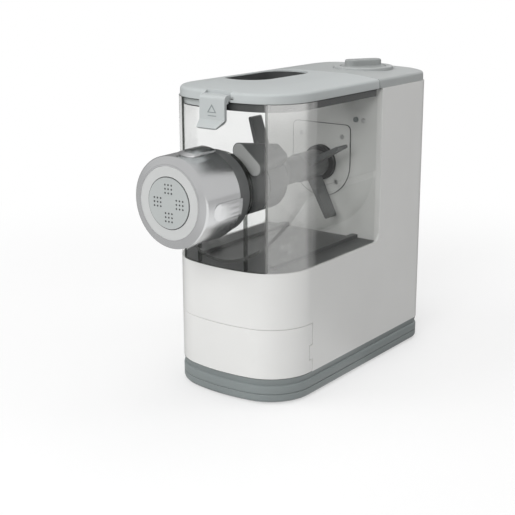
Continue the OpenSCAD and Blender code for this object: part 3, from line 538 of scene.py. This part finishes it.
# housing: lower shell and tower as one moulding, with the drawer front set in it
edges = {"shell": 0.00035, "drawer": 0.0004, "cover": 0.0003}
mainShell = cut(copied("lower_shell"), copied("tower_shell"), "UNION")
edit(mainShell)
bpy.ops.mesh.dissolve_limited(angle_limit=merge["flat"])
editDone()
finished(rounded(mainShell, edges["shell"]), "mainShell", "housing", "glossWhite",
         ["lower_shell", "tower_shell"])
drawerFront = rounded(copied("drawer_front"), edges["drawer"])
finished(drawerFront, "drawerFront", "drawer", "glossWhite", ["drawer_front"])
gearCover = rounded(copied("gear_cover_plate"), edges["cover"])
finished(gearCover, "gearCover", "housing", "glossWhite", ["gear_cover_plate"])
print("housing made")

# the crowned top, cut in two at the seam between lid and cap
dome = {"insets": (0.0009, 0.0010, 0.0012, 0.0016, 0.0022, 0.0030, 0.0042, 0.006, 0.0085, 0.012, 0.017,
                   0.0225, 0.0290, 0.0360),
        "edge": 0.0009, "bandEnd": 0.0012, "band": 0.00615, "rise": 0.0123, "slopeRun": 0.052,
        "slopePower": 1.8, "slopeDrop": 0.0042, "rollRun": 0.0009, "rollDrop": 0.00195, "rearShare": 1 / 3,
        "below": 0.002, "seam": 0.0955, "gap": 0.0009, "wall": 0.0025, "fill": 0.0006, "stripFront": 0.0003,
        "stripRear": 0.0005, "round": 0.0004}


def crown(inset):
    # height of the crown over the lid's lower edge: a steep band, a rolled edge and a long slope
    if inset <= dome["bandEnd"]:
        return dome["band"] * (inset - dome["edge"]) / (dome["bandEnd"] - dome["edge"])
    slope = max(0.0, 1 - inset / dome["slopeRun"]) ** dome["slopePower"]
    roll = exp(-(inset - dome["bandEnd"]) / dome["rollRun"])
    return dome["rise"] - dome["slopeDrop"] * slope - dome["rollDrop"] * roll


def domeBlock(sunk=0.0, below=dome["below"]):
    # the whole crown, or one sunk inside it by a wall
    rows = [(body["lidZ"] - below, dome["insets"][0])] if sunk else []
    rows += [(body["lidZ"] + crown(inset) - sunk, inset) for inset in dome["insets"]]
    rear = dome["edge"] + sunk
    return grown([planLoop(z, inset + sunk, rear + inset * dome["rearShare"]) for z, inset in rows])


def frontOf(piece, depth):
    return halved(piece, (0, depthY(depth), 0), (0, 1, 0))


def rearOf(piece, depth):
    return halved(piece, (0, depthY(depth), 0), (0, -1, 0))


lid = {"slot": (0.0475, 0.094, 0.0225), "slotPlace": (-0.0222, depthY(0.150)),
       "pocket": (0.0274, 0.03, 0.0005), "pocketDepth": 0.2460, "solidFrom": 0.236, "shadeTop": 0.0100,
       "shadeBelow": 0.004, "shadeWall": 0.0014, "shadeGap": 0.00005, "shadeCutBelow": 0.01,
       "shadeCutHeight": 0.04, "cutFrom": body["lidZ"] - 0.005, "cutHeight": 0.03}
lidRear = dome["seam"] + dome["gap"]
lidShell = frontOf(domeBlock(), lidRear)
cut(lidShell, rearOf(frontOf(domeBlock(dome["wall"]), lidRear + dome["wall"]), lid["solidFrom"]))
cut(lidShell, pressed(roundedBox(*lid["slot"], lid["slotPlace"], lid["cutFrom"]), (0, 0, lid["cutHeight"])))
pocketPlace = (0, depthY(lid["pocketDepth"]) - lid["pocket"][1] / 2)
cut(lidShell, pressed(roundedBox(*lid["pocket"], pocketPlace, lid["cutFrom"]), (0, 0, lid["cutHeight"])))
finished(rounded(lidShell, dome["round"], 2, 40), "lidShell", "lid", "lightGrey", ["lid_cover"], 40)


def slotBlock(inset, radius, below, height):
    # a block with the pouring slot's outline
    w, h = (size - 2 * inset for size in lid["slot"][:2])
    return pressed(roundedBox(w, h, radius, lid["slotPlace"], body["lidZ"] - below), (0, 0, height))


slotRadius = lid["slot"][2]
# a dark wall inside the pouring slot: painted shade where the slot's inside falls in shadow
slotShade = slotBlock(lid["shadeGap"], slotRadius, lid["shadeBelow"], lid["shadeTop"] + lid["shadeBelow"])
cut(slotShade, slotBlock(lid["shadeWall"], slotRadius - lid["shadeWall"], lid["shadeCutBelow"],
                     lid["shadeCutHeight"]))
finished(slotShade, "slotShadeSheet", "lid", "darkGrey")
print("lid made")

dial = {"x": 0.015, "depth": 0.044, "ring": 0.029, "inner": 0.0225, "floor": 0.0053, "top": 0.0138,
        "gap": 0.0003, "cutTop": 0.03, "trayThick": 0.003, "grip": 0.0006,
        # steps in from each edge and down from the top
        "outerRound": ((0, 0.0008), (0.0003, 0.0002), (0.001, 0)), "innerRound": ((0.0006, 0), (0, 0.0005))}
dialPlace = (dial["x"], depthY(dial["depth"]), body["lidZ"])
dialWell = plug(dial["ring"] + dial["gap"], dial["floor"], dial["cutTop"])
capShell = cut(rearOf(domeBlock(), dome["seam"]), turned(dialWell, dialPlace, (0, 0, 1), 96))
finished(rounded(capShell, dome["round"], 2, 40), "capShell", "housing", "capGrey", ["tower_cap"], 40)
seamStrip = frontOf(rearOf(domeBlock(dome["fill"], 0), dome["seam"] + dome["stripFront"]),
                    dome["seam"] - dome["stripRear"])
finished(seamStrip, "seamStrip", "housing", "darkGrey", (), 40, False)
dialProfile = [(0, dial["floor"]), (dial["ring"], dial["floor"])]
dialProfile += [(dial["ring"] - inwards, dial["top"] - down) for inwards, down in dial["outerRound"]]
dialProfile += [(dial["inner"] + outwards, dial["top"] - down) for outwards, down in dial["innerRound"]]
dialProfile += [(dial["inner"], dial["floor"] + dial["trayThick"]), (0, dial["floor"] + dial["trayThick"])]
finished(turned(dialProfile, dialPlace, (0, 0, 1)), "dialRing", "housing", "capGrey", ["dial_bezel"], 50)
finished(rounded(copied("dial_knob"), dial["grip"], 3, 35), "dialKnob", "dial", "knobShadedGrey", ["dial_knob"], 40)
print("cap and dial made")

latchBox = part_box("latch_clip")
latch = {"faceY": depthY(0.258), "plate": (0.0272, 0.04, 0.0062), "bottom": latchBox[0][2], "round": 0.0007,
         "blockY": -0.085, "blockLength": 0.05, "mark": ((-0.005, 0.2558), (0.0047, 0.2558), (0, 0.2629)),
         "markInner": 0.68, "bar": ((-0.0042, 0.2529), (0.0046, 0.2529), (0.0046, 0.2536), (-0.0042, 0.2536)),
         "proud": 0.00018, "sunk": 0.0003, "holeFrom": 0.001, "holeLength": 0.003}
latchPlate = copied("latch_clip")
plateOutline = roundedBox(*latch["plate"], (0, latch["bottom"] + latch["plate"][1] / 2), 0)
cut(latchPlate, pressed(upright(plateOutline, latch["blockY"]), (0, -latch["blockLength"], 0)), "INTERSECT")
finished(rounded(latchPlate, latch["round"], 3, 25), "latchPlate", "latch", "lightGrey", ["latch_clip"], 40)


def shrunk(points, share):
    # the same figure, smaller, round its own middle
    middle = [sum(axis) / len(points) for axis in zip(*points)]
    return [tuple(m + (value - m) * share for m, value in zip(middle, point)) for point in points]


def outlineMark(points, inner=None):
    # a thin raised figure on the latch's face, with a hole where it has an inner outline
    mark = pressed(upright(points, latch["faceY"] + latch["sunk"]), (0, -latch["proud"] - latch["sunk"], 0))
    if inner:
        cut(mark, pressed(upright(inner, latch["faceY"] + latch["holeFrom"]), (0, -latch["holeLength"], 0)))
    return mark


latchMark = outlineMark(latch["mark"], shrunk(latch["mark"], latch["markInner"]))
finished(latchMark, "latchMark", "latch", "baseGrey")
finished(outlineMark(latch["bar"]), "latchBar", "latch", "baseGrey")

# the lid's rim: dark, but for a lighter stretch beside the latch, which is a painted reflection
rim = {"low": 0.2585, "height": 0.02, "left": -0.08, "split": -0.0139, "front": -0.15, "back": depthY(0.222),
       "darkRound": 0.0005, "lightRound": 0.0003}
stretch = [(rim["left"], rim["front"], rim["low"]), (rim["split"], rim["front"], rim["low"]),
           (rim["split"], rim["back"], rim["low"]), (rim["left"], rim["back"], rim["low"])]
darkRim = cut(copied("lid_rim"), pressed(stretch, (0, 0, rim["height"])))
reflectedRim = cut(copied("lid_rim"), pressed(stretch, (0, 0, rim["height"])), "INTERSECT")
finished(rounded(darkRim, rim["darkRound"]), "rimBand", "lid", "darkGrey", ["lid_rim"])
finished(rounded(reflectedRim, rim["lightRound"]), "rimReflectionStretch", "lid", "lightGrey")
print("latch and rim made")

# nozzle: the ring's sleeve and its lip as rows of radius and depth, and the pads that stand out of it
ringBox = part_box("tightening_ring")
ringRear = body["rearY"] - ringBox[1][1]
nozzle = {"bore": 0.03605, "lipBore": 0.0322, "boreEnd": 0.3068,
          "rear": ((0.0387, 0), (0.0391, 0.0002), (0.0392, 0.0006)),
          "lip": ((0.03872, 0.3100), (0.0387, 0.3113), (0.03855, 0.3117), (0.0382, 0.31205),
                  (0.0376, 0.31235), (0.0312, 0.3144), (0.0309, 0.3145), (0.0306, 0.3145),
                  (0.0306, 0.31428), (0.0322, 0.31428)),
          "core": ((0.03925, -0.001), (0.03922, 0.0006)), "coreFront": ((0.03874, 0.3100), (0.03874, 0.3165)),
          "padRound": 0.0006}


def nozzleTurned(rows, steps=180):
    # rows of radius and depth, turned round the nozzle's axis
    return turned([(r, depth - ringRear) for r, depth in rows], (0, depthY(ringRear), body["axisZ"]),
                  (0, -1, 0), steps)


sleeve = [(nozzle["bore"], ringRear), *((r, ringRear + step) for r, step in nozzle["rear"]), *nozzle["lip"],
          (nozzle["lipBore"], nozzle["boreEnd"]), (nozzle["bore"], nozzle["boreEnd"])]
finished(nozzleTurned(sleeve), "clampRing", "ring", "brushedSteel", ["tightening_ring"], 32)
core = [*((r, ringRear + step) for r, step in nozzle["core"]), *nozzle["coreFront"]]
core = [(0, core[0][1]), *core, (0, core[-1][1])]
ringPads = cut(rounded(copied("tightening_ring"), nozzle["padRound"], 3, 30), nozzleTurned(core))
finished(ringPads, "ringPads", "ring", "brushedSteel", (), 40, False)

# die: a face a little proud of its disc, a dark ring of painted shade in the seam round it and four groups of
# holes filled with dark discs of painted shade
die = {"discY": depthY(0.3142), "radius": 0.0216, "proud": 0.0006, "seam": (-0.0001, 0.0005),
       "seamThick": 0.0002, "seamSunk": 0.00015, "holeRadius": 0.00085, "holePitch": 0.0034,
       "group": 0.0118, "holeSunk": 0.0002, "holeProud": 0.00003}
dieY = die["discY"] - die["proud"]
finished(halved(copied("die_insert"), (0, dieY, 0), (0, -1, 0)), "dieFace", "chamber", "dieSteel",
         ["die_insert"], 30)
inner, outer = (die["radius"] + step for step in die["seam"])
# painted shade: a dark ring in the seam round the die
dieSeamShade = turned([(inner, 0), (outer, 0), (outer, die["seamThick"]), (inner, die["seamThick"])],
                 (0, die["discY"] + die["seamSunk"], body["axisZ"]), (0, -1, 0))
finished(dieSeamShade, "dieSeamShade", "chamber", "darkGrey")
# painted shade: dark discs set in the holes
firstHole = turned(plug(die["holeRadius"], -die["holeSunk"], die["holeProud"]), (0, dieY, body["axisZ"]),
                   (0, -1, 0), 16)
holes = []
for groupX, groupZ in ((1, 0), (0, 1), (-1, 0), (0, -1)):
    for i in (-1, 0, 1):
        for j in (-1, 0, 1):
            hole = bpy.data.objects.new("dieHoleShadeDisc", firstHole.data.copy())
            bpy.context.scene.collection.objects.link(hole)
            for point in hole.data.vertices:
                point.co.x += groupX * die["group"] + i * die["holePitch"]
                point.co.z += groupZ * die["group"] + j * die["holePitch"]
            holes.append(hole)
bpy.data.objects.remove(firstHole, do_unlink=True)
pick(holes[0])
for hole in holes:
    hole.select_set(True)
bpy.ops.object.join()
finished(holes[0], "dieHoleShade", "chamber", "darkGrey", (), 30, False)

# paddle, with a lighter pad on the front end of its scraper blade: painted light where that face is lit
paddle = {"round": 0.0009, "padLength": 0.0335, "padWidth": 0.0125, "padRadius": 0.0354,
          "padTurn": radians(50), "padY": depthY(0.240), "padThick": 0.0004, "padSunk": 0.0001,
          "padRound": 0.0002, "cornerGap": 0.0001}
mixingArms = rounded(copied("mixing_paddle"), paddle["round"], 3, 35)
finished(mixingArms, "mixingArms", "paddle", "paddleGrey", ["mixing_paddle"], 40)
padOutline = roundedBox(paddle["padWidth"], paddle["padLength"], paddle["padWidth"] / 2 - paddle["cornerGap"],
                        (paddle["padRadius"], 0), 0)
padCos, padSin = cos(paddle["padTurn"]), sin(paddle["padTurn"])
padOutline = [(point[0] * padCos - point[1] * padSin, point[0] * padSin + point[1] * padCos + body["axisZ"])
              for point in padOutline]
scraperLitFace = pressed(upright(padOutline, paddle["padY"] + paddle["padSunk"]),
                      (0, -paddle["padThick"] - paddle["padSunk"], 0))
finished(rounded(scraperLitFace, paddle["padRound"]), "scraperLitFace", "paddle", "paddleLitGrey")
for node, name in (("chamber_cup", "clearCup"), ("front_panel", "clearFront")):
    finished(copied(node), name, "chamber", "clearSmoke", [node], 30)


clearEdges = {"skin": 0.00012, "panelTilt": 0.6, "cupTilt": 0.9, "panelHalf": 0.045, "beside": 0.004,
              "frontFrom": 0.24, "sideFrom": 0.22, "topFrom": 0.262}


def panelEdge(centre, normal):
    return abs(normal.y) < clearEdges["panelTilt"]


def cupEdge(centre, normal):
    # the cup's front ends, the walls beside the panel, and its top
    tilt = clearEdges["cupTilt"]
    front = normal.y < -tilt and centre.y < depthY(clearEdges["frontFrom"])
    besidePanel = abs(abs(centre.x) - clearEdges["panelHalf"]) < clearEdges["beside"]
    side = abs(normal.x) > tilt and besidePanel and centre.y < depthY(clearEdges["sideFrom"])
    top = normal.z > tilt and centre.z > clearEdges["topFrom"]
    return front or side or top


def edgesOf(node, name, wanted):
    # the narrow faces of a clear moulding, where it looks dark, as a skin of their own: painted shade in
    # place of the dark that refraction gives them
    piece = copied(node)
    edit(piece, lambda centre, normal: not wanted(centre, normal))
    bpy.ops.mesh.delete(type="FACE")
    editDone()
    shaped(piece, "SOLIDIFY", thickness=clearEdges["skin"], offset=1)
    finished(piece, name, "chamber", "clearEdgeShade", (), 30, False)


edgesOf("front_panel", "panelEdges", panelEdge)
edgesOf("chamber_cup", "cupEdges", cupEdge)
print("chamber made")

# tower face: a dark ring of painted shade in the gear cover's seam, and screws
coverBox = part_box("gear_cover_plate")
cover = {"faceY": coverBox[0][1], "radius": 0.0325, "top": 0.038, "corner": 0.005, "seam": 0.0005,
         "seamBack": 0.0011, "seamThick": 0.0009, "inside": 0.00015, "holeBack": 0.003, "holeLength": 0.006,
         "screws": ((-0.0225, 0.0268), (0.0236, 0.0265), (0.0177, -0.0177)), "stop": (0.0462, 0.0439),
         "stopBack": 0.0012}
screw = {"radius": 0.0023, "proud": 0.0007, "sunk": 0.0004, "shoulder": 0.4, "round": 0.0005,
         "slotWidth": 0.0008, "slotLength": 0.003, "slotDeep": 0.0004, "slotCut": 0.001}


def coverOutline(grow, y):
    # round below the axis and square with rounded corners above it
    r, half, top = cover["corner"] + grow, cover["radius"] + grow, cover["top"] + grow
    points = [(half * cos(radians(a)), half * sin(radians(a))) for a in range(-180, 1, 5)]
    for side, start in ((1, 0), (-1, 90)):
        points += [(side * (half - r) + r * cos(radians(start + a)), top - r + r * sin(radians(start + a)))
                   for a in range(0, 91, 15)]
    return [(x, y, z + body["axisZ"]) for x, z in points]


gapShadeOutline = coverOutline(cover["seam"], cover["faceY"] + cover["seamBack"])
holeOutline = coverOutline(-cover["inside"], cover["faceY"] + cover["holeBack"])
# painted shade: a dark ring just behind the cover's outline, in the gap round it
coverGapShade = pressed(gapShadeOutline, (0, -cover["seamThick"], 0))
cut(coverGapShade, pressed(holeOutline, (0, -cover["holeLength"], 0)))
finished(coverGapShade, "coverGapShade", "housing", "darkGrey")


def screwHead(name, x, z, y):
    # a pan head with a cross recess
    r, proud = screw["radius"], screw["proud"]
    z += body["axisZ"]
    profile = [(0, -screw["sunk"]), (r, -screw["sunk"]), (r, proud * screw["shoulder"]),
               (r - screw["round"], proud), (0, proud)]
    head = turned(profile, (x, y, z), (0, -1, 0), 32)
    for w, h in ((screw["slotWidth"], screw["slotLength"]), (screw["slotLength"], screw["slotWidth"])):
        slot = [(x + sx * w / 2, z + sz * h / 2) for sx, sz in ((-1, -1), (1, -1), (1, 1), (-1, 1))]
        cut(head, pressed(upright(slot, y - proud + screw["slotDeep"]), (0, -screw["slotCut"], 0)))
    finished(head, name, "housing", "polishedSteel")


for i, (x, z) in enumerate(cover["screws"]):
    screwHead("coverScrew%d" % (i + 1), x, z, cover["faceY"])
screwHead("towerScrew", *cover["stop"], cover["faceY"] + cover["stopBack"])
print("tower face made")


# stage: camera, lamps, floor and world

view = {"eye": (0.58153, -0.80925, 0.39014), "aim": (0.037577, -0.070, 0.1418), "lens": 77.10, "sensor": 36.0,
        "shift": (-0.02288, -0.02571), "clip": (0.05, 50)}


def aimed(thing, name, place, aim):
    # a camera or lamp at its place, turned to what it aims at
    holder = bpy.data.objects.new(name, thing)
    bpy.context.scene.collection.objects.link(holder)
    holder.location = place
    holder.rotation_euler = (Vector(aim) - Vector(place)).to_track_quat("-Z", "Y").to_euler()
    return holder


camera = aimed(bpy.data.cameras.new("camera"), "camera", view["eye"], view["aim"])
camera.data.sensor_width = view["sensor"]
camera.data.lens = view["lens"]
camera.data.shift_x, camera.data.shift_y = view["shift"]
camera.data.clip_start, camera.data.clip_end = view["clip"]
bpy.context.scene.camera = camera

lamps = {
    # place, aim, width, height, watts
    "keyLamp": ((0.55, -2.2, 1.18), (0, 0, 0.12), 1.4, 1.4, 36.0),
    "leftLamp": ((-1.45, -1.45, 1.55), (0, 0, 0.12), 1.4, 1.4, 17.0),
    "topLamp": ((0.1, 0.3, 1.7), (0, 0, 0.1), 1.4, 1.4, 11.0),
    "rearLamp": ((1.2, 1.2, 0.9), (0.07, 0.12, 0.2), 0.7, 1.0, 3.0),
}
for name, (place, aim, width, height, watts) in lamps.items():
    lamp = bpy.data.lights.new(name, "AREA")
    lamp.shape = "RECTANGLE"
    lamp.size = width
    lamp.size_y = height
    lamp.energy = watts
    aimed(lamp, name, place, aim).visible_glossy = False  # gloss shows the room, which is plain and soft

ground = {"size": 30, "matte": 0.95, "bounce": 0.45, "white": 1.0, "fade": (0.25, 0.8, 0.5, 1.0),
          "frontRight": 1.1, "front": 0.6, "rearLeft": 0.22, "rearRight": 0.5, "brightWay": (0.906, 0.423),
          "brightEdge": (0.35, 0.6), "frontEdge": (-0.2, 0.2), "rearEdge": (-0.2, 0.5), "least": 0.0001}
bpy.ops.mesh.primitive_plane_add(size=ground["size"], location=(0, 0, 0))
floor = bpy.context.object
floor.name = "floor"
white = Finish("floorWhite")
rays = white.add("ShaderNodeLightPath")
direct = rays.out("Is Camera Ray").larger(rays.out("Is Transmission Ray"))
x = white.split(white.place())
y = x.out("Y")
away = (x * x + y * y) ** 0.5
across = x / (away + ground["least"])
towardsBright = (x * ground["brightWay"][0] - y * ground["brightWay"][1]) / (away + ground["least"])


def glow(level):
    return white.grey("ShaderNodeEmission", level)


# what gloss sees of the floor: bright at the front right, plain at the front left, dark behind
rear = white.either(across.ramp(*ground["rearEdge"]), glow(ground["rearLeft"]), glow(ground["rearRight"]))
plain = white.either(y.ramp(*ground["frontEdge"]), glow(ground["front"]), rear)
mirrored = white.either(towardsBright.ramp(*ground["brightEdge"]), plain, glow(ground["frontRight"]))
# seen directly it is half matte near the object and white further off; bounced light meets a darker matte
seen = white.either(away.ramp(*ground["fade"]), white.grey("ShaderNodeBsdfDiffuse", ground["matte"]),
                    glow(ground["white"]))
lit = white.either(direct, white.grey("ShaderNodeBsdfDiffuse", ground["bounce"]), seen)
white.done(white.either(rays.out("Is Glossy Ray"), lit, mirrored))
floor.data.materials.append(white.owner)

studio = {"white": 1.0, "fill": 0.31, "dark": 0.32, "bright": 0.72, "rightFrom": (-0.62, -0.4),
          "frontFrom": (0.1, -0.5), "ceilingFrom": (0.7, 0.9)}
world = bpy.data.worlds.new("studio")
bpy.context.scene.world = world
room = Finish("studio", world)
rays = room.add("ShaderNodeLightPath")
direct = rays.out("Is Camera Ray").larger(rays.out("Is Transmission Ray"))
towards = room.split(room.add("ShaderNodeTexCoord").out("Generated"))


def wall(level):
    return room.grey("ShaderNodeBackground", level)


# gloss sees a bright room whose left side is dark, apart from its front and the ceiling
bright = towards.ramp(*studio["rightFrom"]).larger(towards.out("Y").ramp(*studio["frontFrom"]))
bright = bright.larger(towards.out("Z").ramp(*studio["ceilingFrom"]))
mirrored = room.either(bright, wall(studio["dark"]), wall(studio["bright"]))
around = room.either(rays.out("Is Glossy Ray"), wall(studio["fill"]), mirrored)
room.done(room.either(direct, around, wall(studio["white"])), "ShaderNodeOutputWorld")

bpy.context.scene.view_settings.view_transform = "Standard"
bpy.context.scene.cycles.transparent_max_bounces = 32
print("stage set")
